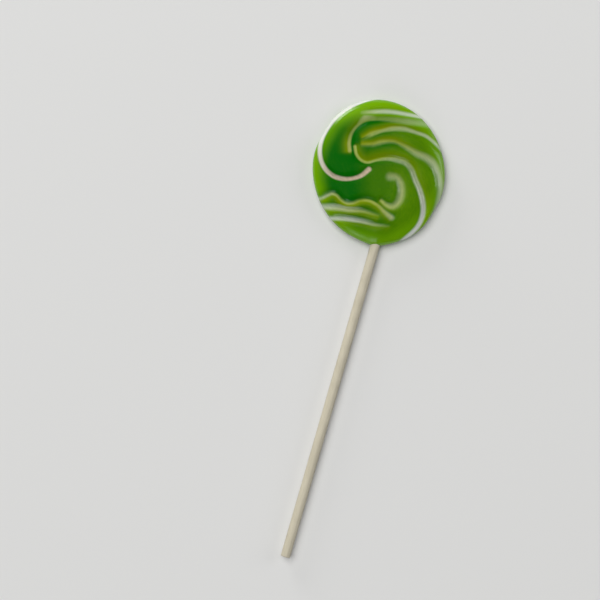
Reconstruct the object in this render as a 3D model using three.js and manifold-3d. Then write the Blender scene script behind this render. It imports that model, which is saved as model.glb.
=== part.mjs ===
// A flat swirl lollipop: one oval candy head with its swirl in relief, on a paper stick.
// Millimetres, +Z up. The lollipop lies on its back, so the shown side looks up.
// The origin is the middle of the head's flat back, and the stick runs along -Y.
import * as THREE from "three";
import { mergeVertices } from "three/addons/utils/BufferGeometryUtils.js";
import Module from "manifold-3d";

// Head
const HEAD_RADIUS = 22.5;
const HEAD_OVAL = 1.1;
const OVAL_LEAN = THREE.MathUtils.degToRad(-30);
const FLAT_DEPTH = 0.7;
const FLAT_AT = THREE.MathUtils.degToRad(-70);
const FLAT_WIDTH = 0.25;
const HEAD_THICKNESS = 6.3;
const RIM_HEIGHT = 2.6;
const DOME_POWER = 4;
const DOME_ROUNDING = 0.45;
const BACK_ROUNDING = [[0.99, 1.5], [0.968, 0.6], [0.94, 0.15], [0.905, 0]];

// Stick, and the hole it sits in
const STICK_RADIUS = 1.6;
const STICK_END_Y = -128.9;
const STICK_TIP_Y = -10;
const STICK_OFFSET = 5.5;
const STICK_HEIGHT = 2.75;
const STICK_CHAMFER = 0.25;
const STICK_SIDES = 32;
const GAP = 0.3;

// Candy drawn out over the stick where it goes in
const NECK_UP = 0.9;
const NECK_OUT = 0.8;
const NECK_WIDTH = 4;
const NECK_LENGTH = 6;

// Swirl: grooves between the strands, and the two lobes that stand above the strand beside them
const GROOVE_DEPTH = 0.65;
const GROOVE_WIDTH = 1.1;
const LOBE_STEP = 0.4;
const LOBE_DIP = 0.35;
const LOBE_REACH = 3.4;
const RELIEF_AT_RIM = 0.35;

// Grid of the shown side, turned with the swirl so that its columns run along the strands
const COLUMNS = 100;
const RINGS = 30;
const TURN_EVEN = 95;
const TURN_AT_RIM = 35;
const TURN_POWER = 13;

// Each groove is a smooth line through these points, [x, y] in mm, from its inner end outwards.
const LEFT_LOBE = [
  [-3.5, -0.3], [-5.3, -2.9], [-7.8, -4.6], [-10.6, -5.5], [-13.6, -5.5], [-16.5, -4.3], [-18.9, -1.9],
  [-20.5, 2.0], [-20.6, 6.2], [-18.9, 11.9], [-16.8, 15.5], [-14.3, 18.3], [-10.8, 21.0], [-6.9, 23.2],
];
const RIGHT_LOBE = [
  [-9.7, 5.5], [-8.6, 3.4], [-6.7, 2.0], [-4.6, 1.8], [-2.0, 3.3], [1.0, 4.7], [4.2, 5.3], [7.7, 5.1],
  [10.1, 3.6], [12.3, 0.7], [14.7, -2.3], [16.7, -5.8], [17.7, -9.6], [17.2, -13.8], [13.4, -20.4],
];
const LEFT_HOOK = [
  [-10.6, 3.9], [-11.5, 6.3], [-11.7, 9.3], [-10.6, 12.2], [-8.5, 14.3], [-5.2, 15.7], [4.6, 18.0],
  [12.0, 19.4],
];
const UPPER_STRAND = [
  [-8.0, 9.0], [-5.9, 11.0], [-2.8, 13.1], [0.5, 14.8], [3.9, 15.7], [7.6, 15.7], [11.8, 15.3], [18.7, 11.8],
];
const MIDDLE_STRAND = [
  [-7.5, 6.6], [-4.3, 7.7], [-1.4, 9.4], [2.1, 10.4], [6.0, 9.8], [10.0, 8.8], [13.9, 8.2],
  [16.9, 6.6], [19.2, 3.7], [20.7, 0.4], [21.6, -6.8],
];
const TOP_STRAND = [[-10.6, 16.9], [-6.7, 18.4], [-2.7, 19.6], [1.9, 20.4], [8.0, 21.3]];
const RIGHT_HOOK = [
  [3.8, -0.8], [5.9, -0.5], [7.7, -2.0], [8.8, -5.1], [8.7, -7.8], [7.3, -9.8], [5.4, -9.9], [3.3, -9.0],
];
const LOWER_STRAND = [
  [8.1, -12.9], [5.4, -11.8], [2.6, -10.4], [-0.5, -9.9], [-3.3, -10.7], [-5.3, -12.2], [-7.4, -12.8],
  [-9.5, -12.2], [-11.1, -11.3], [-12.7, -11.2], [-14.1, -12.2], [-15.5, -13.4], [-17.6, -14.4],
  [-20.4, -15.0],
];
const INNER_BOTTOM = [
  [3.4, -13.8], [-1.6, -13.8], [-6.2, -14.7], [-10.6, -15.2], [-15.0, -16.2], [-19.0, -17.2],
];
const OUTER_BOTTOM = [
  [7.8, -16.2], [3.6, -17.0], [-1.0, -17.2], [-6.5, -17.9], [-11.5, -19.2], [-15.4, -20.6],
];

const STEPS_PER_POINT = 12;

function smoothLine(points, startDepth) {
  const places = points.map(([x, y]) => new THREE.Vector3(x, y, 0));
  const curve = new THREE.CatmullRomCurve3(places, false, "centripetal");
  return { startDepth, points: curve.getPoints(points.length * STEPS_PER_POINT) };
}

const LOBE_LINES = [smoothLine(LEFT_LOBE, 0.6), smoothLine(RIGHT_LOBE, 0.6)];
const STRAND_LINES = [
  smoothLine(LEFT_HOOK, 0.5),
  smoothLine(UPPER_STRAND, 0.3),
  smoothLine(MIDDLE_STRAND, 0.3),
  smoothLine(TOP_STRAND, 0.2),
  smoothLine(RIGHT_HOOK, 0.5),
  smoothLine(LOWER_STRAND, 0.3),
  smoothLine(INNER_BOTTOM, 0.3),
  smoothLine(OUTER_BOTTOM, 0.2),
];

// Nearest point of a line to (x, y): its distance, its share of the way along, and whether
// (x, y) is to the right of someone who walks outwards along the line.
function nearest(line, x, y) {
  let best = { distance: Infinity, along: 0, onRight: false };
  const last = line.points.length - 1;
  for (let i = 0; i < last; i++) {
    const a = line.points[i];
    const b = line.points[i + 1];
    const dx = b.x - a.x;
    const dy = b.y - a.y;
    const t = THREE.MathUtils.clamp(((x - a.x) * dx + (y - a.y) * dy) / (dx * dx + dy * dy), 0, 1);
    const offX = x - a.x - t * dx;
    const offY = y - a.y - t * dy;
    const distance = Math.hypot(offX, offY);
    if (distance < best.distance) {
      best = { distance, along: (i + t) / last, onRight: dx * offY - dy * offX < 0 };
    }
  }
  return best;
}

function grooveDepth(line, near) {
  const opening = THREE.MathUtils.lerp(line.startDepth, 1, Math.min(near.along / 0.25, 1));
  return GROOVE_DEPTH * opening * Math.exp(-((near.distance / GROOVE_WIDTH) ** 2));
}

// The lobe is on the right of its line and stands up, and the strand on the left dips under it.
function lobeShoulder(near) {
  const fall = Math.exp(-near.distance / LOBE_REACH);
  const rise = near.onRight ? LOBE_STEP : -LOBE_DIP;
  const opening = THREE.MathUtils.smoothstep(near.along, 0.05, 0.35);
  return rise * opening * fall * Math.min(near.distance / 0.5, 1);
}

function relief(x, y) {
  let deepest = 0;
  let height = 0;
  for (const line of LOBE_LINES) {
    const near = nearest(line, x, y);
    deepest = Math.max(deepest, grooveDepth(line, near));
    height += lobeShoulder(near);
  }
  for (const line of STRAND_LINES) deepest = Math.max(deepest, grooveDepth(line, nearest(line, x, y)));
  return height - deepest;
}

// How much of the stick's neck is at this place: 1 over the stick at the rim, 0 away from it
function neckShare(x, y) {
  const beyondTip = THREE.MathUtils.smoothstep(-y, HEAD_RADIUS - 2 * NECK_LENGTH, HEAD_RADIUS - 2);
  return beyondTip * Math.exp(-(((x - STICK_OFFSET) / NECK_WIDTH) ** 2));
}

// Slightly oval, and flatter on two opposite sides, where a lobe lies over the end of a strand
function outlineRadius(angle) {
  const flat = FLAT_DEPTH * Math.exp(-((Math.sin(angle - FLAT_AT) / FLAT_WIDTH) ** 2));
  const oval = HEAD_RADIUS + HEAD_OVAL * Math.cos(2 * (angle - OVAL_LEAN)) - flat;
  return oval + NECK_OUT * neckShare(oval * Math.sin(angle), oval * Math.cos(angle));
}

function turnOfRing(share) {
  return THREE.MathUtils.degToRad(TURN_EVEN * share + TURN_AT_RIM * share ** TURN_POWER);
}

function shownHeight(share, x, y) {
  const dome = (HEAD_THICKNESS - RIM_HEIGHT) * (1 - share ** DOME_POWER) ** DOME_ROUNDING;
  const fade = THREE.MathUtils.lerp(1, RELIEF_AT_RIM, THREE.MathUtils.smoothstep(share, 0.88, 1));
  return RIM_HEIGHT + dome + fade * relief(x, y) + NECK_UP * neckShare(x, y) * Math.sqrt(1 - share ** 8);
}

// Rings from the middle of the shown side out to the rim, closer together where the edge turns over
function ringShare(ring) {
  return Math.sin((Math.PI / 2) * (ring / RINGS) ** 1.15);
}

function headSurface() {
  const positions = [0, 0, shownHeight(0, 0, 0)];
  const rings = [];
  const addRing = (turn, radiusShare, heightAt) => {
    rings.push(positions.length / 3);
    for (let i = 0; i < COLUMNS; i++) {
      const angle = turn + (2 * Math.PI * i) / COLUMNS;
      const radius = radiusShare * outlineRadius(angle);
      const x = radius * Math.sin(angle);
      const y = radius * Math.cos(angle);
      positions.push(x, y, heightAt(x, y));
    }
  };
  for (let ring = 1; ring <= RINGS; ring++) {
    const share = ringShare(ring);
    addRing(turnOfRing(share), share, (x, y) => shownHeight(share, x, y));
  }
  for (const [share, height] of BACK_ROUNDING) addRing(turnOfRing(1), share, () => height);
  const backMiddle = positions.length / 3;
  positions.push(0, 0, 0);

  const faces = [];
  for (let i = 0; i < COLUMNS; i++) {
    const next = (i + 1) % COLUMNS;
    faces.push(0, rings[0] + next, rings[0] + i);
    for (let r = 1; r < rings.length; r++) {
      const inner = rings[r - 1];
      const outer = rings[r];
      faces.push(inner + i, inner + next, outer + i);
      faces.push(inner + next, outer + next, outer + i);
    }
    const lowest = rings[rings.length - 1];
    faces.push(backMiddle, lowest + i, lowest + next);
  }
  const geometry = new THREE.BufferGeometry();
  geometry.setAttribute("position", new THREE.Float32BufferAttribute(positions, 3));
  geometry.setIndex(faces);
  return geometry;
}

// A round bar along Y, with its ends cut back by the chamfer
function bar(radius, fromY, toY, chamfer) {
  const profile = [
    new THREE.Vector2(0, fromY),
    new THREE.Vector2(radius - chamfer, fromY),
    new THREE.Vector2(radius, fromY + chamfer),
    new THREE.Vector2(radius, toY - chamfer),
    new THREE.Vector2(radius - chamfer, toY),
    new THREE.Vector2(0, toY),
  ];
  const geometry = new THREE.LatheGeometry(profile, STICK_SIDES);
  geometry.translate(STICK_OFFSET, 0, STICK_HEIGHT);
  return geometry;
}

const wasm = await Module();
wasm.setup();

function solidOf(geometry) {
  const bare = geometry.clone();
  bare.deleteAttribute("normal");
  bare.deleteAttribute("uv");
  const merged = mergeVertices(bare, 1e-4);
  const vertProperties = merged.attributes.position.array;
  const triVerts = new Uint32Array(merged.index.array);
  return new wasm.Manifold(new wasm.Mesh({ numProp: 3, vertProperties, triVerts }));
}

function geometryOf(solid) {
  const mesh = solid.getMesh();
  const geometry = new THREE.BufferGeometry();
  geometry.setAttribute("position", new THREE.Float32BufferAttribute(mesh.vertProperties, 3));
  geometry.setIndex(new THREE.Uint32BufferAttribute(mesh.triVerts, 1));
  const flat = geometry.toNonIndexed();
  flat.computeVertexNormals();
  return flat;
}

function candyHead() {
  const hole = bar(STICK_RADIUS + GAP, -HEAD_RADIUS - 2 * NECK_LENGTH, STICK_TIP_Y + GAP, STICK_CHAMFER);
  const solid = solidOf(headSurface()).subtract(solidOf(hole));
  const material = new THREE.MeshStandardMaterial({ color: 0x2f7a08, roughness: 0.25 });
  const mesh = new THREE.Mesh(geometryOf(solid), material);
  mesh.name = "candy_head";
  return mesh;
}

function paperStick() {
  const material = new THREE.MeshStandardMaterial({ color: 0xd8cdbd, roughness: 0.8 });
  const mesh = new THREE.Mesh(bar(STICK_RADIUS, STICK_END_Y, STICK_TIP_Y, STICK_CHAMFER), material);
  mesh.name = "paper_stick";
  return mesh;
}

const group = new THREE.Group();
group.name = "swirl_lollipop";
group.add(candyHead());
group.add(paperStick());
export default group;
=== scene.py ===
import math

import bpy
import numpy as np
from mathutils import Matrix, Vector


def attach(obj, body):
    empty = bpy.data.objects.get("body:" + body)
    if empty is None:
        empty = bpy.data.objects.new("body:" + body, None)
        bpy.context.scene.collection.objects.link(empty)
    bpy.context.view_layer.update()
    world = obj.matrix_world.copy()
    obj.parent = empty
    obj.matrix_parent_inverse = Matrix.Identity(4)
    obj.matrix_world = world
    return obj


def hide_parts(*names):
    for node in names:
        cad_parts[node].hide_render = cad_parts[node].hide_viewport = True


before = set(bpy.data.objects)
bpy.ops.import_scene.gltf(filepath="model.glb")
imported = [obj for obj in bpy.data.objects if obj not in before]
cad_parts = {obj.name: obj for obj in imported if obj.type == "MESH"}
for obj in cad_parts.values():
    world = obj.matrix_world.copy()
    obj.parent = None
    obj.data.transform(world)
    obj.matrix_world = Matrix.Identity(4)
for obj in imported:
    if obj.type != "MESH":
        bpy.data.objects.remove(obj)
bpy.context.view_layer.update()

MM = 0.001

# Head, as in the CAD
HEAD_RADIUS = 22.5
HEAD_OVAL = 1.1
OVAL_LEAN = math.radians(-30)
FLAT_DEPTH = 0.7
FLAT_AT = math.radians(-70)
FLAT_WIDTH = 0.25
HEAD_THICKNESS = 6.3
RIM_HEIGHT = 2.6
DOME_POWER = 4
DOME_ROUNDING = 0.45
BACK_RADIUS_SHARE = 0.905

# Stick and the candy drawn out over it
STICK_RADIUS = 1.6
STICK_END_Y = -128.9
STICK_TIP_Y = -10.0
STICK_OFFSET = 5.5
STICK_HEIGHT = 2.75
NECK_UP = 0.9
NECK_OUT = 0.8
NECK_WIDTH = 4.0
NECK_LENGTH = 6.0
NECK_RIM_POWER = 8

# Swirl
GROOVE_DEPTH = 0.65
GROOVE_WIDTH = 1.1
LOBE_STEP = 0.4
LOBE_DIP = 0.35
LOBE_REACH = 3.4
RELIEF_AT_RIM = 0.35
RELIEF_FADES_FROM = 0.88
TURN_EVEN = 95
TURN_AT_RIM = 35
TURN_POWER = 13
RING_CROWDING = 1.15

# Along a line, as shares of it: where the groove is at its full depth, and where a lobe's step grows.
# Beside a line, in mm: how far the lobe's step takes to rise, and half the blend of the two sides' colours.
GROOVE_OPENS = 0.25
LOBE_GROWS = (0.05, 0.35)
LOBE_EDGE = 0.5
SIDE_BLEND = 0.3

# Each groove is a smooth line through these points, [x, y] in mm, from its inner end outwards.
LEFT_LOBE = [
    [-3.5, -0.3], [-5.3, -2.9], [-7.8, -4.6], [-10.6, -5.5], [-13.6, -5.5], [-16.5, -4.3], [-18.9, -1.9],
    [-20.5, 2.0], [-20.6, 6.2], [-18.9, 11.9], [-16.8, 15.5], [-14.3, 18.3], [-10.8, 21.0], [-6.9, 23.2],
]
RIGHT_LOBE = [
    [-9.7, 5.5], [-8.6, 3.4], [-6.7, 2.0], [-4.6, 1.8], [-2.0, 3.3], [1.0, 4.7], [4.2, 5.3], [7.7, 5.1],
    [10.1, 3.6], [12.3, 0.7], [14.7, -2.3], [16.7, -5.8], [17.7, -9.6], [17.2, -13.8], [13.4, -20.4],
]
LEFT_HOOK = [
    [-10.6, 3.9], [-11.5, 6.3], [-11.7, 9.3], [-10.6, 12.2], [-8.5, 14.3], [-5.2, 15.7], [4.6, 18.0],
    [12.0, 19.4],
]
UPPER_STRAND = [
    [-8.0, 9.0], [-5.9, 11.0], [-2.8, 13.1], [0.5, 14.8], [3.9, 15.7], [7.6, 15.7], [11.8, 15.3],
    [18.7, 11.8],
]
MIDDLE_STRAND = [
    [-7.5, 6.6], [-4.3, 7.7], [-1.4, 9.4], [2.1, 10.4], [6.0, 9.8], [10.0, 8.8], [13.9, 8.2],
    [16.9, 6.6], [19.2, 3.7], [20.7, 0.4], [21.6, -6.8],
]
TOP_STRAND = [[-10.6, 16.9], [-6.7, 18.4], [-2.7, 19.6], [1.9, 20.4], [8.0, 21.3]]
RIGHT_HOOK = [
    [3.8, -0.8], [5.9, -0.5], [7.7, -2.0], [8.8, -5.1], [8.7, -7.8], [7.3, -9.8], [5.4, -9.9], [3.3, -9.0],
]
LOWER_STRAND = [
    [8.1, -12.9], [5.4, -11.8], [2.6, -10.4], [-0.5, -9.9], [-3.3, -10.7], [-5.3, -12.2], [-7.4, -12.8],
    [-9.5, -12.2], [-11.1, -11.3], [-12.7, -11.2], [-14.1, -12.2], [-15.5, -13.4], [-17.6, -14.4],
    [-20.4, -15.0],
]
INNER_BOTTOM = [[3.4, -13.8], [-1.6, -13.8], [-6.2, -14.7], [-10.6, -15.2], [-15.0, -16.2], [-19.0, -17.2]]
OUTER_BOTTOM = [[7.8, -16.2], [3.6, -17.0], [-1.0, -17.2], [-6.5, -17.9], [-11.5, -19.2], [-15.4, -20.6]]

# What lies along each line. start_depth is the groove's depth at the inner end, as a share of its full
# depth, cream is how cream the white is, and soft the share of the half width over which its edge fades.
# Each tuple is spread evenly over the line from its inner end outwards. The white stripe has half_widths
# in mm, strengths, cleans (0 is tinted green) and shifts, how far in mm it lies to the right of the line.
# On the left-hand side is the sheet's yellow glow, over glow_reach in mm, and on the right deep green,
# partly painted shade.
STRIPES = [
    dict(
        points=LEFT_LOBE, start_depth=0.6, cream=1.0, soft=0.5,
        half_widths=(0.75, 0.55, 0.65, 0.65, 0.65, 0.6, 0.55, 0.3), strengths=(0.95, 0.9, 1.0, 1.0, 1.0),
        cleans=(1.0, 1.0), shifts=(-0.15, -0.15, -0.1, 0.1, 0.25),
        glow_reach=1.6, glows=(0.0, 0.0, 0.2, 0.4, 0.4), shades=(0.6, 0.6, 0.4, 0.2, 0.0),
    ),
    dict(
        points=RIGHT_LOBE, start_depth=0.6, cream=0.0, soft=0.75,
        half_widths=(0.45, 0.4, 0.36, 0.7, 0.8, 0.75, 0.68, 0.6),
        strengths=(0.55, 0.45, 0.4, 0.4, 0.4, 0.7, 1.0, 1.0),
        cleans=(0.0, 0.0, 0.1, 0.7, 0.7, 0.8, 1.0, 1.0), shifts=(0.1, 0.2, 0.35, 0.4, 0.25, 0.2),
        glow_reach=2.2, glows=(0.5, 0.8, 0.8, 0.6, 0.4, 0.4, 0.5), shades=(0.8, 0.8, 0.5, 0.15, 0.1, 0.1),
    ),
    dict(
        points=LEFT_HOOK, start_depth=0.5, cream=0.3, soft=0.75,
        half_widths=(0.55, 0.5, 0.45, 0.4, 0.9, 0.6, 0.9, 0.9),
        strengths=(0.42, 0.38, 0.25, 0.22, 0.4, 0.12, 0.25, 0.2),
        cleans=(0.1, 0.1, 0.1, 0.1, 0.2, 0.3, 0.5, 0.5),
        shifts=(-0.45, -0.45, -0.3, -0.2, -1.2, -0.5, -0.1, 0.0),
        glow_reach=2.2, glows=(1.2, 1.1, 0.5, 0.5, 0.4, 0.1, 0.1, 0.1),
        shades=(0.6, 0.8, 1.0, 1.0, 1.3, 1.1, 0.1, 0.0),
    ),
    dict(
        points=UPPER_STRAND, start_depth=0.3, cream=0.0, soft=0.8,
        half_widths=(0.5, 0.7, 0.5, 0.7, 0.7, 0.5, 0.5, 0.4),
        strengths=(0.05, 0.4, 0.42, 0.42, 0.42, 0.45, 0.5, 0.5),
        cleans=(0.0, 0.1, 0.3, 0.5, 0.6, 0.7), shifts=(0.3, 0.3, 0.4, 0.3, 0.0),
        glow_reach=1.3, glows=(1.0, 1.5, 1.1, 0.5, 0.3, 0.2), shades=(0.7, 1.0, 0.6, 0.1, 0.1),
    ),
    dict(
        points=MIDDLE_STRAND, start_depth=0.3, cream=0.0, soft=0.85,
        half_widths=(0.6, 0.7, 0.5, 0.9, 1.1, 0.9, 0.8), strengths=(0.1, 0.3, 0.15, 0.4, 0.45, 0.42, 0.3),
        cleans=(0.1, 0.2, 0.5, 0.6, 0.7), shifts=(0.0, 0.0),
        glow_reach=1.4, glows=(1.3, 1.4, 0.6, 0.4, 0.3), shades=(0.9, 1.2, 0.5, 0.2, 0.2, 0.2),
    ),
    dict(
        points=TOP_STRAND, start_depth=0.2, cream=0.0, soft=0.8,
        half_widths=(0.5, 0.6, 0.65, 0.6, 0.5), strengths=(0.2, 0.55, 0.6, 0.6, 0.7),
        cleans=(0.1, 0.7, 1.0, 0.7), shifts=(0.2, 0.2, 0.2, 0.5),
        glow_reach=1.6, glows=(0.1, 0.3, 0.2), shades=(0.1, 0.2, 0.2),
    ),
    dict(
        points=RIGHT_HOOK, start_depth=0.5, cream=0.0, soft=0.85,
        half_widths=(1.1, 0.9, 1.0, 1.05, 0.9, 0.65, 0.45), strengths=(0.35, 0.4, 0.42, 0.42, 0.5, 0.45),
        cleans=(0.5, 0.5, 0.5, 0.3, 0.1), shifts=(0.0, 0.0),
        glow_reach=1.6, glows=(0.3, 0.5, 0.5, 0.6), shades=(0.2, 0.3, 0.3),
    ),
    dict(
        points=LOWER_STRAND, start_depth=0.3, cream=0.0, soft=0.8,
        half_widths=(0.8, 0.5, 0.42, 0.5, 0.45, 0.45, 0.4, 0.4, 0.45, 0.5),
        strengths=(0.35, 0.3, 0.25, 0.33, 0.15, 0.3, 0.3, 0.2, 0.3, 0.5, 0.5, 0.4, 0.45, 0.5),
        cleans=(0.8, 0.5, 0.2, 0.1, 0.0, 0.2, 0.3, 0.0, 0.0, 0.2, 0.5, 0.5, 0.6, 0.6),
        shifts=(-0.5, -0.4, 0.0, 0.0, 0.0, 0.0, 0.0),
        glow_reach=1.7, glows=(1.0, 1.0, 1.0, 0.7, 0.6), shades=(0.4, 0.5, 0.3),
    ),
    dict(
        points=INNER_BOTTOM, start_depth=0.3, cream=0.0, soft=0.8,
        half_widths=(0.5, 0.7, 0.8, 0.6), strengths=(0.05, 0.4, 0.5, 0.5),
        cleans=(0.2, 0.5, 0.7), shifts=(0.0, 0.0),
        glow_reach=1.9, glows=(0.6, 0.8, 0.5), shades=(0.4, 0.5, 0.3),
    ),
    dict(
        points=OUTER_BOTTOM, start_depth=0.2, cream=0.0, soft=0.8,
        half_widths=(0.4, 0.6, 0.5), strengths=(0.05, 0.6, 0.7),
        cleans=(0.4, 0.9, 0.8), shifts=(0.0, 0.0),
        glow_reach=1.6, glows=(0.3, 0.6, 0.4), shades=(0.2, 0.4, 0.2),
    ),
]
LOBES = (LEFT_LOBE, RIGHT_LOBE)

# How far in mm the deep green, partly painted shade, reaches from a line, and how far past a line's end the
# colours beside it go
SHADE_REACH = 2.0
END_REACH = 0.8

# The stripes fade out round the edge, from the rim's height down to this share of it
STRIPES_END = 0.35

# Painted light: the green is painted yellower to the right and at the top of the picture: by how much, and
# between which distances in mm from the head's middle
PAINTED_LIGHT_RIGHTWARD = ((0.48, -9, -1), (0.12, 0, 8))
PAINTED_LIGHT_UPWARD = ((0.12, 8, 20),)

# Painted light: the candy is painted lighter where light comes through it at the rim, between these shares
# of the radius, and where light falls from above at the top, between these distances in mm above the middle
PAINTED_LIGHT_AT_RIM = (0.74, 1.02)
PAINTED_LIGHT_AT_TOP = (13, 20)
PAINTED_TOP_LIGHT = 0.5

# Mesh of the head
COLUMNS = 480
RINGS = 165
EDGE_RINGS = 12
BACK_RINGS = 6
LINE_STEPS = 10

# Camera: the photo's scale, which holds at the match height, and where the head's middle is in the
# photo, in px to the right of its left edge and below its upper edge
MM_PER_PX = 0.325
FRAME_PX = 600
HEAD_PX = (379.0, 171.5)
STICK_LEAN = math.radians(16.1)
CAMERA_DISTANCE = 600
MATCH_HEIGHT = 4.0
SENSOR_MM = 36


def smooth_line(points):
    """Centripetal Catmull-Rom line through the points."""
    p = np.array(points, float)
    p = np.vstack([2 * p[0] - p[1], p, 2 * p[-1] - p[-2]])
    t = np.linspace(0, 1, LINE_STEPS, endpoint=False)[:, None]
    out = []
    for a, b, c, d in zip(p[:-3], p[1:-2], p[2:-1], p[3:]):
        ab, bc, cd = (np.linalg.norm(v) ** 0.5 for v in (b - a, c - b, d - c))
        leave = ((b - a) / ab - (c - a) / (ab + bc) + (c - b) / bc) * bc
        arrive = ((c - b) / bc - (d - b) / (bc + cd) + (d - c) / cd) * bc
        out.append(
            (2 * t**3 - 3 * t**2 + 1) * b
            + (t**3 - 2 * t**2 + t) * leave
            + (3 * t**2 - 2 * t**3) * c
            + (t**3 - t**2) * arrive
        )
    return np.vstack(out + [p[-2]])


def nearest(line, x, y):
    """Distance from each place to the line, share of the way along, and how far it is to the right."""
    best = np.full(x.shape, np.inf)
    along = np.zeros(x.shape)
    to_right = np.zeros(x.shape)
    last = len(line) - 1
    for i, (a, b) in enumerate(zip(line[:-1], line[1:])):
        dx, dy = b - a
        t = np.clip(((x - a[0]) * dx + (y - a[1]) * dy) / (dx * dx + dy * dy), 0, 1)
        off_x = x - a[0] - t * dx
        off_y = y - a[1] - t * dy
        distance = np.hypot(off_x, off_y)
        closer = distance < best
        best[closer] = distance[closer]
        along[closer] = ((i + t) / last)[closer]
        to_right[closer] = ((dy * off_x - dx * off_y) / math.hypot(dx, dy))[closer]
    return best, along, to_right


def smoothstep(value, low, high):
    t = np.clip((value - low) / (high - low), 0, 1)
    return t * t * (3 - 2 * t)


def spread(values, along):
    """Value at each share of the way along a line, from values spread evenly over it."""
    return np.interp(along, np.linspace(0, 1, len(values)), values)


def swirl(x, y):
    """At each place: height of the relief in mm, and shares of white, clean, cream, glow and deep green,
    partly painted shade.
    """
    deepest = np.zeros(x.shape)
    height = np.zeros(x.shape)
    white = np.zeros(x.shape)
    clean = np.zeros(x.shape)
    cream = np.zeros(x.shape)
    glow = np.zeros(x.shape)
    shade = np.zeros(x.shape)
    for stripe in STRIPES:
        distance, along, to_right = nearest(smooth_line(stripe["points"]), x, y)
        past_end = np.sqrt(np.maximum(distance**2 - to_right**2, 0))
        opening = stripe["start_depth"] + (1 - stripe["start_depth"]) * np.minimum(along / GROOVE_OPENS, 1)
        groove = GROOVE_DEPTH * opening * np.exp(-((distance / GROOVE_WIDTH) ** 2))
        deepest = np.maximum(deepest, groove)
        if stripe["points"] in LOBES:
            rise = np.where(to_right > 0, LOBE_STEP, -LOBE_DIP)
            fall = np.exp(-distance / LOBE_REACH) * smoothstep(along, *LOBE_GROWS)
            height += rise * fall * np.minimum(distance / LOBE_EDGE, 1)
        half_width = spread(stripe["half_widths"], along)
        inner = (1 - stripe["soft"]) * half_width
        outer = (1 + stripe["soft"]) * half_width
        off_stripe = np.hypot(to_right - spread(stripe["shifts"], along), past_end)
        edge = 1 - smoothstep(off_stripe, inner, outer)
        strength = spread(stripe["strengths"], along) * edge
        clean = np.where(strength > white, spread(stripe["cleans"], along), clean)
        cream = np.where(strength > white, stripe["cream"], cream)
        white = np.maximum(white, strength)
        end_fade = np.exp(-((past_end / END_REACH) ** 2))
        on_right = smoothstep(to_right, -SIDE_BLEND, SIDE_BLEND)
        sheet = spread(stripe["glows"], along) * np.exp(-((distance / stripe["glow_reach"]) ** 2))
        glow = np.maximum(glow, np.minimum(sheet, 1) * (1 - on_right) * end_fade)
        # deep green on the right of the line: the candy's deeper green and painted shade under the strand's
        # raised edge
        beyond = spread(stripe["shades"], along) * np.exp(-((distance / SHADE_REACH) ** 2))
        shade = np.maximum(shade, np.minimum(beyond, 1) * on_right * end_fade)
    return height - deepest, white, clean, cream, glow, shade


def in_picture(x, y):
    """Distances from the head's middle, to the right and up as the camera sees them."""
    across = x * math.cos(STICK_LEAN) + y * math.sin(STICK_LEAN)
    up = y * math.cos(STICK_LEAN) - x * math.sin(STICK_LEAN)
    return across, up


def painted_light_tone(x, y):
    """Painted light: 0 where the green is deepest, on the left of the picture, and 1 where it is painted
    yellower, to the right and at the top.
    """
    across, up = in_picture(x, y)
    rightward = sum(amount * smoothstep(across, low, high) for amount, low, high in PAINTED_LIGHT_RIGHTWARD)
    upward = sum(amount * smoothstep(up, low, high) for amount, low, high in PAINTED_LIGHT_UPWARD)
    return rightward + upward


def painted_light_share(x, y, share):
    """Share of painted light: all at the rim, where light comes through the thin candy, and some at the top,
    as light from above.
    """
    up = in_picture(x, y)[1]
    top = PAINTED_TOP_LIGHT * smoothstep(up, *PAINTED_LIGHT_AT_TOP)
    return np.minimum(smoothstep(share, *PAINTED_LIGHT_AT_RIM) + top, 1)


def neck_share(x, y):
    """How much of the stick's neck is at this place: 1 over the stick at the rim, 0 away from it."""
    beyond_tip = smoothstep(-y, HEAD_RADIUS - 2 * NECK_LENGTH, HEAD_RADIUS - 2)
    return beyond_tip * np.exp(-(((x - STICK_OFFSET) / NECK_WIDTH) ** 2))


def outline_radius(angle):
    """Radius of the head's outline, at an angle from the y axis towards the x axis."""
    flat = FLAT_DEPTH * np.exp(-((np.sin(angle - FLAT_AT) / FLAT_WIDTH) ** 2))
    oval = HEAD_RADIUS + HEAD_OVAL * np.cos(2 * (angle - OVAL_LEAN)) - flat
    return oval + NECK_OUT * neck_share(oval * np.sin(angle), oval * np.cos(angle))


def turn_at(share):
    """Turn of the mesh's columns at a share of the radius, so that they wind outwards with the swirl."""
    return np.radians(TURN_EVEN * share + TURN_AT_RIM * share**TURN_POWER)


def shown_height(share, x, y, relief):
    """Height of the shown side in mm, at a place and its share of the radius."""
    dome = (HEAD_THICKNESS - RIM_HEIGHT) * (1 - share**DOME_POWER) ** DOME_ROUNDING
    fade = 1 + (RELIEF_AT_RIM - 1) * smoothstep(share, RELIEF_FADES_FROM, 1)
    neck = NECK_UP * neck_share(x, y) * np.sqrt(1 - share**NECK_RIM_POWER)
    return RIM_HEIGHT + dome + fade * relief + neck


def head_rings():
    """Share of the radius and height rule of each ring, from the middle of the top to the back's middle."""
    top = np.sin(np.pi / 2 * (np.arange(1, RINGS + 1) / RINGS) ** RING_CROWDING)
    turn = np.linspace(0, np.pi / 2, EDGE_RINGS + 1)[1:]
    edge = BACK_RADIUS_SHARE + (1 - BACK_RADIUS_SHARE) * np.cos(turn)
    edge_height = RIM_HEIGHT * (1 - np.sin(turn))
    back = BACK_RADIUS_SHARE * np.linspace(1, 0, BACK_RINGS + 1)[1:-1]
    share = np.concatenate([top, edge, back])
    is_top = np.arange(len(share)) < RINGS
    low = np.concatenate([np.zeros(RINGS), edge_height, np.zeros(len(back))])
    return share, is_top, low


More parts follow.
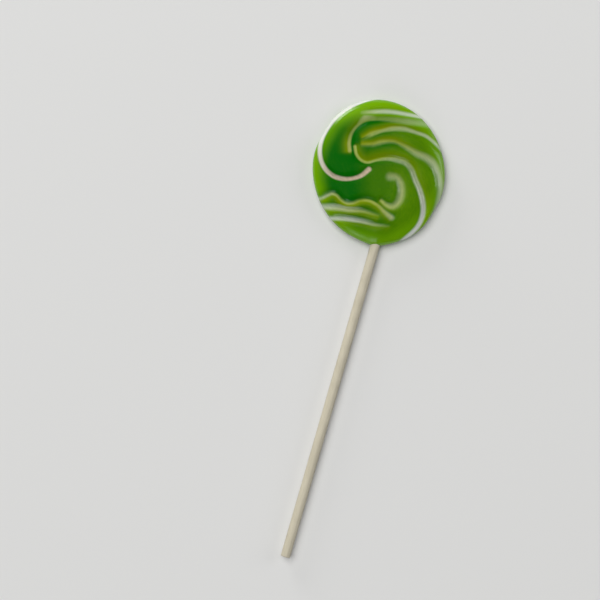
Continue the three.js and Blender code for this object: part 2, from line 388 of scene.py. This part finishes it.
def head_faces(rings):
    top_middle = rings * COLUMNS
    back_middle = top_middle + 1
    last = (rings - 1) * COLUMNS
    faces = []
    for i in range(COLUMNS):
        j = (i + 1) % COLUMNS
        faces.append((top_middle, j, i))
        faces.append((back_middle, last + i, last + j))
        for r in range(1, rings):
            inner = (r - 1) * COLUMNS
            outer = r * COLUMNS
            faces.append((inner + i, inner + j, outer + j, outer + i))
    return faces


def candy_head():
    share, is_top, low = head_rings()
    rings = len(share)
    column = 2 * np.pi * np.arange(COLUMNS) / COLUMNS
    angle = column[None, :] + turn_at(np.where(is_top, share, 1.0))[:, None]
    radius = share[:, None] * outline_radius(angle)

    # the rings one after the other, then the middle of the top and the middle of the back
    x = np.append((radius * np.sin(angle)).reshape(-1), [0, 0])
    y = np.append((radius * np.cos(angle)).reshape(-1), [0, 0])
    outward = np.append(np.repeat(share, COLUMNS), [0, 0])
    on_top = np.append(np.repeat(is_top, COLUMNS), [True, False])
    relief, white, clean, cream, glow, shade = swirl(x, y)
    below = np.append(np.repeat(low, COLUMNS), [0, 0])
    z = np.where(on_top, shown_height(outward, x, y, relief), below)
    shown = np.where(on_top, 1, smoothstep(below, STRIPES_END * RIM_HEIGHT, RIM_HEIGHT))
    mesh = bpy.data.meshes.new("candy")
    mesh.from_pydata((np.stack([x, y, z], axis=1) * MM).tolist(), [], head_faces(rings))
    around = np.append(np.tile(column, rings), [0, 0])
    values = {
        "stripe": white * shown,
        "clean": clean,
        "cream": cream,
        "glow": glow * shown,
        # deep green beside the lines, partly painted shade under the strands' raised edges
        "shade": shade * shown,
        # painted light: the tone is yellower to the right and at the top of the picture
        "tone": painted_light_tone(x, y),
        # painted light: the lighter green at the rim and the top
        "painted_light": painted_light_share(x, y, outward),
        "outward": outward,
        "across_x": np.cos(around) * outward,
        "across_y": np.sin(around) * outward,
    }
    for name, value in values.items():
        made = mesh.attributes.new(name, "FLOAT", "POINT")
        made.data.foreach_set("value", value.astype(np.float32))
    for face in mesh.polygons:
        face.use_smooth = True
    piece = new_piece("candy", mesh, candy_material())
    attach(piece, "root")
    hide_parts("candy_head")


def new_piece(name, mesh, material):
    mesh.validate()
    mesh.materials.append(material)
    piece = bpy.data.objects.new(name, mesh)
    bpy.context.scene.collection.objects.link(piece)
    return piece


# Rolled paper stick: the outer turn's free edge is a low step along the whole length. Sizes in mm.
STICK_SIDES = 96
LENGTH_STEPS = 240
SEAM_STEP = 0.07
SEAM_ANGLE = math.radians(62)
SEAM_RISE = 0.02
STEP_TAKEN_UP = 0.7
OUT_OF_ROUND = 0.02
OUT_OF_ROUND_SWAY = 0.8
SWAY_LENGTH = 23
RIPPLE = 0.008
RIPPLE_LENGTH = 1.9
RIPPLES_ROUND = 3
END_ROUND = 0.3
END_STEPS = 6
PAPER_TURNS = 5
RINGS_PER_TURN = 4
TURN_DIP = 0.09
FACE_INSET = 0.02
MIDDLE_INSET = 0.15


def stick_radius(angle, along_mm):
    """Radius in mm: it shrinks by the paper's thickness once round, so a step is left at the seam."""
    from_seam = ((angle - SEAM_ANGLE) / (2 * math.pi)) % 1.0
    step = np.minimum(from_seam / SEAM_RISE, 1)
    under_seam = SEAM_STEP * (1 - step * (1 - STEP_TAKEN_UP * from_seam))
    sway = OUT_OF_ROUND_SWAY * np.sin(along_mm / SWAY_LENGTH)
    flat = OUT_OF_ROUND * np.sin(2 * angle + sway)
    ripple = RIPPLE * np.sin(along_mm / RIPPLE_LENGTH + RIPPLES_ROUND * angle)
    return STICK_RADIUS - under_seam - np.abs(flat) - np.abs(ripple)


def paper_stick():
    angle = 2 * np.pi * np.arange(STICK_SIDES) / STICK_SIDES
    length = STICK_TIP_Y - STICK_END_Y
    places = []
    ring_starts = []

    def add_ring(y, scale, inset):
        radius = (stick_radius(angle, y) - inset) * scale
        ring = [
            (STICK_OFFSET + r * math.cos(a), y, STICK_HEIGHT + r * math.sin(a))
            for r, a in zip(radius, angle)
        ]
        ring_starts.append(len(places))
        places.extend(ring)

    # the end's face goes in and out with the turns of the paper
    face_rings = RINGS_PER_TURN * PAPER_TURNS
    for k in range(1, face_rings + 1):
        share = k / face_rings
        dip = TURN_DIP * (0.5 + 0.5 * math.cos(2 * math.pi * PAPER_TURNS * share))
        add_ring(STICK_END_Y + dip + FACE_INSET, share, END_ROUND)
    for k in range(1, END_STEPS + 1):
        t = k / END_STEPS * math.pi / 2
        add_ring(STICK_END_Y + END_ROUND * (1 - math.cos(t)), 1, END_ROUND * (1 - math.sin(t)))
    for k in range(1, LENGTH_STEPS + 1):
        add_ring(STICK_END_Y + END_ROUND + (length - END_ROUND) * k / LENGTH_STEPS, 1, 0)
    middle = len(places)
    places.append((STICK_OFFSET, STICK_END_Y + MIDDLE_INSET, STICK_HEIGHT))
    tip = len(places)
    places.append((STICK_OFFSET, STICK_TIP_Y, STICK_HEIGHT))
    faces = []
    for i in range(STICK_SIDES):
        j = (i + 1) % STICK_SIDES
        faces.append((middle, ring_starts[0] + i, ring_starts[0] + j))
        faces.append((tip, ring_starts[-1] + j, ring_starts[-1] + i))
        for lower, upper in zip(ring_starts[:-1], ring_starts[1:]):
            faces.append((lower + i, upper + i, upper + j, lower + j))
    mesh = bpy.data.meshes.new("stick")
    mesh.from_pydata((np.array(places) * MM).tolist(), [], faces)
    for face in mesh.polygons:
        face.use_smooth = True
    piece = new_piece("stick", mesh, paper_material())
    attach(piece, "root")
    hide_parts("paper_stick")


def new_material(name):
    material = bpy.data.materials.new(name)
    material.use_nodes = True
    tree = material.node_tree
    return material, tree, tree.nodes["Principled BSDF"]


def math_node(tree, operation, a, b=0.0, clamp=False):
    made = tree.nodes.new("ShaderNodeMath")
    made.operation = operation
    made.use_clamp = clamp
    for socket, value in zip(made.inputs, (a, b)):
        if isinstance(value, (int, float)):
            socket.default_value = value
        else:
            tree.links.new(value, socket)
    return made.outputs[0]


def add_share(tree, base, value, share, clamp=False):
    return math_node(tree, "ADD", base, math_node(tree, "MULTIPLY", value, share), clamp=clamp)


def value_of(tree, name):
    made = tree.nodes.new("ShaderNodeAttribute")
    made.attribute_name = name
    return made.outputs["Fac"]


def mix_colour(tree, share, a, b):
    made = tree.nodes.new("ShaderNodeMix")
    made.data_type = "RGBA"
    for socket, value in ((made.inputs[0], share), (made.inputs[6], a), (made.inputs[7], b)):
        if isinstance(value, (int, float, tuple)):
            socket.default_value = value
        else:
            tree.links.new(value, socket)
    return made.outputs[2]


def noise(tree, vector, scale, detail):
    made = tree.nodes.new("ShaderNodeTexNoise")
    made.inputs["Scale"].default_value = scale
    made.inputs["Detail"].default_value = detail
    tree.links.new(vector, made.inputs["Vector"])
    return made.outputs["Fac"]


def add_bump(tree, shader, height, strength, depth):
    bump = tree.nodes.new("ShaderNodeBump")
    bump.inputs["Strength"].default_value = strength
    bump.inputs["Distance"].default_value = depth
    tree.links.new(height, bump.inputs["Height"])
    tree.links.new(bump.outputs[0], shader.inputs["Normal"])


def position(tree):
    return tree.nodes.new("ShaderNodeTexCoord").outputs["Object"]


def linear(red, green, blue):
    """Linear colour of an sRGB colour given as 0 to 255."""
    def one(v):
        v = v / 255
        return v / 12.92 if v <= 0.04045 else ((v + 0.055) / 1.055) ** 2.4
    return (one(red), one(green), one(blue), 1.0)


DEEP_GREEN = linear(2, 95, 1)
MIDDLE_GREEN = linear(62, 114, 1)
LIGHT_GREEN = linear(120, 160, 4)
# painted light: the lighter green at the rim and the top
PAINTED_LIGHT_GREEN = linear(112, 166, 2)
OLIVE_GLOW = linear(124, 144, 2)
SHEET_WHITE = linear(196, 198, 192)
SHEET_TINTED = linear(206, 214, 112)
SHEET_CREAM = linear(196, 176, 152)
EDGE_WHITE = linear(224, 229, 222)
PAPER_WHITE = linear(208, 201, 180)
PAPER_SHADE = linear(186, 179, 158)

# Candy: shares of the streaks and clouds in its tone, stripes and gloss
STREAKS_IN_TONE = 0.2
CLOUDS_IN_TONE = 0.15
STREAKS_IN_STRIPES = 0.6
CANDY_ROUGHNESS = 0.18
CLOUDS_IN_ROUGHNESS = 0.12
EDGE_WHITE_POWER = 6

# Paper: roughness, and the fibres' share in it
PAPER_ROUGHNESS = 0.6
FIBRES_IN_ROUGHNESS = 0.2


def candy_material():
    material, tree, shader = new_material("candy_green")
    stripe = value_of(tree, "stripe")
    outward = value_of(tree, "outward")
    flow = tree.nodes.new("ShaderNodeCombineXYZ")
    tree.links.new(value_of(tree, "across_x"), flow.inputs[0])
    tree.links.new(value_of(tree, "across_y"), flow.inputs[1])
    streaks = math_node(tree, "SUBTRACT", noise(tree, flow.outputs[0], scale=22, detail=2), 0.5)
    clouds = math_node(tree, "SUBTRACT", noise(tree, position(tree), scale=150, detail=2), 0.5)

    # the green wavers along the strands, from deep to light, over painted light that makes it yellower to
    # the right and at the top
    tone = add_share(tree, value_of(tree, "tone"), streaks, STREAKS_IN_TONE)
    tone = add_share(tree, tone, clouds, CLOUDS_IN_TONE, clamp=True)
    to_middle = math_node(tree, "MULTIPLY", tone, 2, clamp=True)
    to_light = math_node(tree, "SUBTRACT", math_node(tree, "MULTIPLY", tone, 2), 1, clamp=True)
    green = mix_colour(tree, to_middle, DEEP_GREEN, MIDDLE_GREEN)
    green = mix_colour(tree, to_light, green, LIGHT_GREEN)
    # painted light: lighter green at the rim and at the top
    green = mix_colour(tree, value_of(tree, "painted_light"), green, PAINTED_LIGHT_GREEN)
    # deep green beside the lines: the candy's deeper green and painted shade under the strands' raised edges
    green = mix_colour(tree, value_of(tree, "shade"), green, DEEP_GREEN)
    green = mix_colour(tree, value_of(tree, "glow"), green, OLIVE_GLOW)

    # the stripes' edges waver with the streaks, and they are cleaner white at the rim
    streaks_there = math_node(tree, "MULTIPLY", streaks, stripe)
    white = add_share(tree, stripe, streaks_there, STREAKS_IN_STRIPES, clamp=True)
    at_rim = math_node(tree, "POWER", outward, EDGE_WHITE_POWER)
    stripe_colour = mix_colour(tree, value_of(tree, "clean"), SHEET_TINTED, SHEET_WHITE)
    stripe_colour = mix_colour(tree, value_of(tree, "cream"), stripe_colour, SHEET_CREAM)
    stripe_colour = mix_colour(tree, at_rim, stripe_colour, EDGE_WHITE)
    tree.links.new(mix_colour(tree, white, green, stripe_colour), shader.inputs["Base Color"])

    rough = add_share(tree, CANDY_ROUGHNESS, clouds, CLOUDS_IN_ROUGHNESS)
    tree.links.new(rough, shader.inputs["Roughness"])
    shader.inputs["Subsurface Weight"].default_value = 0.08
    shader.inputs["Subsurface Radius"].default_value = (0.6, 1.0, 0.3)
    shader.inputs["Subsurface Scale"].default_value = 0.0006
    shader.inputs["IOR"].default_value = 1.5

    add_bump(tree, shader, streaks, strength=0.2, depth=0.0002)
    return material


def paper_material():
    material, tree, shader = new_material("rolled_paper")
    place = position(tree)
    stretch = tree.nodes.new("ShaderNodeMapping")
    stretch.inputs["Scale"].default_value = (1, 0.12, 1)
    tree.links.new(place, stretch.inputs["Vector"])
    fibres = noise(tree, stretch.outputs[0], scale=1800, detail=4)
    blotches = noise(tree, place, scale=160, detail=2)
    shade = math_node(tree, "SUBTRACT", math_node(tree, "ADD", fibres, blotches), 0.5, clamp=True)
    colour = mix_colour(tree, shade, PAPER_WHITE, PAPER_SHADE)
    tree.links.new(colour, shader.inputs["Base Color"])
    rough = add_share(tree, PAPER_ROUGHNESS, fibres, FIBRES_IN_ROUGHNESS)
    tree.links.new(rough, shader.inputs["Roughness"])
    add_bump(tree, shader, fibres, strength=0.3, depth=0.0001)
    return material


# Studio, in metres: the floor reaches past every view, and lies a hair under the lollipop
FLOOR_REACH = 6
FLOOR_GAP = 0.00002
FLOOR_GREY = (0.72, 0.72, 0.71, 1)
WORLD_LIGHT = 0.02


def floor():
    mesh = bpy.data.meshes.new("floor")
    corners = [(FLOOR_REACH * x, FLOOR_REACH * y, 0) for x, y in ((-1, -1), (1, -1), (1, 1), (-1, 1))]
    mesh.from_pydata(corners, [], [(0, 1, 2, 3)])
    material, tree, shader = new_material("pale_floor")
    shader.inputs["Base Color"].default_value = FLOOR_GREY
    shader.inputs["Roughness"].default_value = 0.7
    shader.inputs["Specular IOR Level"].default_value = 0.2
    piece = new_piece("floor", mesh, material)
    piece.location.z = -FLOOR_GAP


def camera():
    """Camera square to the shown side, with the head as large, as far round and where it is in the photo."""
    up = Vector((-math.sin(STICK_LEAN), math.cos(STICK_LEAN), 0))
    right = Vector((math.cos(STICK_LEAN), math.sin(STICK_LEAN), 0))
    back = Vector((0, 0, 1))
    across = (FRAME_PX / 2 - HEAD_PX[0]) * MM_PER_PX * MM
    down = (HEAD_PX[1] - FRAME_PX / 2) * MM_PER_PX * MM
    data = bpy.data.cameras.new("camera")
    data.sensor_width = SENSOR_MM
    data.lens = SENSOR_MM * CAMERA_DISTANCE / (FRAME_PX * MM_PER_PX)
    made = bpy.data.objects.new("camera", data)
    place = right * across + up * down + back * (CAMERA_DISTANCE + MATCH_HEIGHT) * MM
    made.matrix_world = Matrix.Translation(place) @ Matrix((right, up, back)).transposed().to_4x4()
    bpy.context.scene.collection.objects.link(made)
    bpy.context.scene.camera = made
    return up, right


def area_light(name, place, aim, size, power, mirrored=True):
    data = bpy.data.lights.new(name, "AREA")
    data.size = size
    data.energy = power
    made = bpy.data.objects.new(name, data)
    made.location = place
    made.rotation_mode = "QUATERNION"
    made.rotation_quaternion = (Vector(aim) - Vector(place)).to_track_quat("-Z", "Y")
    made.visible_glossy = mirrored
    bpy.context.scene.collection.objects.link(made)


def lights(up, right):
    """A wide overhead light that the gloss does not mirror, and three low ones for the highlights."""
    head = Vector((0, 0, 0))
    high = Vector((0, 0, 1))
    stick = -up * 0.06
    area_light("overhead", up * 0.8 - right * 0.8 + high * 3, head, size=2.7, power=101, mirrored=False)
    area_light("key", up * 0.8 - right * 0.5 + high * 0.2, head, size=0.4, power=3.5)
    area_light("fill", right * 0.95 + up * 0.2 + high * 0.5, head, size=0.5, power=2)
    area_light("low", -up * 0.95 - right * 0.3 + high * 0.5, stick, size=0.5, power=1.5)
    world = bpy.data.worlds.new("studio")
    bpy.context.scene.world = world
    world.use_nodes = True
    world.node_tree.nodes["Background"].inputs["Color"].default_value = (1, 1, 1, 1)
    world.node_tree.nodes["Background"].inputs["Strength"].default_value = WORLD_LIGHT
    bpy.context.scene.view_settings.view_transform = "Standard"


up, right = camera()
floor()
candy_head()
paper_stick()
lights(up, right)
